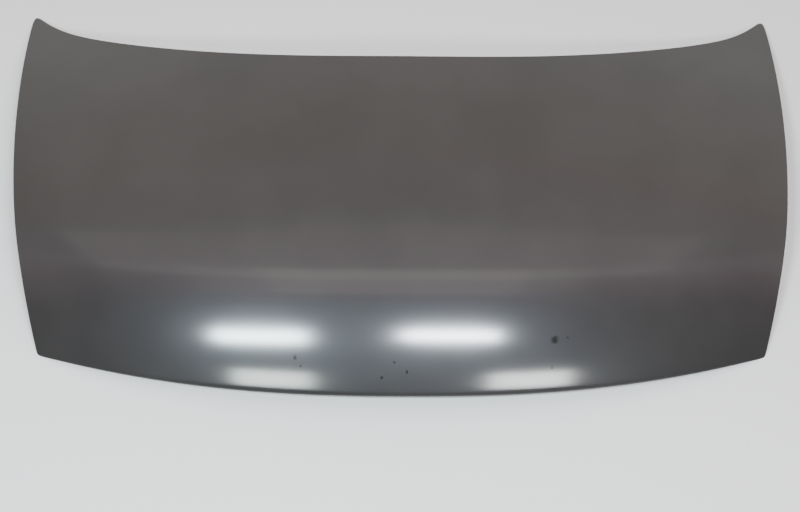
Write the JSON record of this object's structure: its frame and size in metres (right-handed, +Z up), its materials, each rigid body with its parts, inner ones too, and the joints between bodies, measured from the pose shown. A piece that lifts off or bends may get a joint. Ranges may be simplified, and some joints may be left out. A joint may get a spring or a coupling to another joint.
{
  "type": "car bonnet",
  "caption": "Pressed steel car bonnet with a smooth crowned outer skin, turned-down nose, hemmed edge and a stamped inner frame with hinge pads and a latch striker.",
  "frame": {"origin": "middle of the bounding box's underside: the middle of the plane that the hem's four corners rest on", "axes": "+X to the car's right, +Y back towards the windscreen, +Z up out of the painted face"},
  "size_m": [1.4524, 0.8402, 0.1424],
  "materials": {
    "coat_outer": "satin dark grey electrocoat on the outer skin",
    "coat_inner": "duller dark grey electrocoat on the inner pressings",
    "mastic": "matt expanded mastic",
    "nut_steel": "plain zinc-grey steel",
    "striker_steel": "drawn steel rod under a thin coat"
  },
  "bodies": {
    "root": {"outer_skin": "coat_outer", "inner_frame": "coat_inner", "hinge_reinforcement_right": "coat_inner", "hinge_nut_right_front": "nut_steel", "hinge_nut_right_rear": "nut_steel", "hinge_reinforcement_left": "coat_inner", "hinge_nut_left_front": "nut_steel", "hinge_nut_left_rear": "nut_steel", "latch_reinforcement": "coat_inner", "striker_plate": "coat_inner", "striker_loop": "striker_steel", "mastic_dab_right_1": "mastic", "mastic_dab_left_1": "mastic", "mastic_dab_right_2": "mastic", "mastic_dab_left_2": "mastic", "mastic_dab_right_3": "mastic", "mastic_dab_left_3": "mastic", "mastic_dab_right_4": "mastic", "mastic_dab_left_4": "mastic", "mastic_dab_right_5": "mastic", "mastic_dab_left_5": "mastic", "mastic_dab_right_6": "mastic", "mastic_dab_left_6": "mastic", "mastic_dab_right_7": "mastic", "mastic_dab_left_7": "mastic", "mastic_dab_right_8": "mastic", "mastic_dab_left_8": "mastic", "mastic_dab_right_9": "mastic", "mastic_dab_left_9": "mastic", "mastic_dab_right_10": "mastic", "mastic_dab_left_10": "mastic", "mastic_dab_right_11": "mastic", "mastic_dab_left_11": "mastic", "mastic_dab_right_12": "mastic", "mastic_dab_left_12": "mastic"}
  },
  "joints": []
}
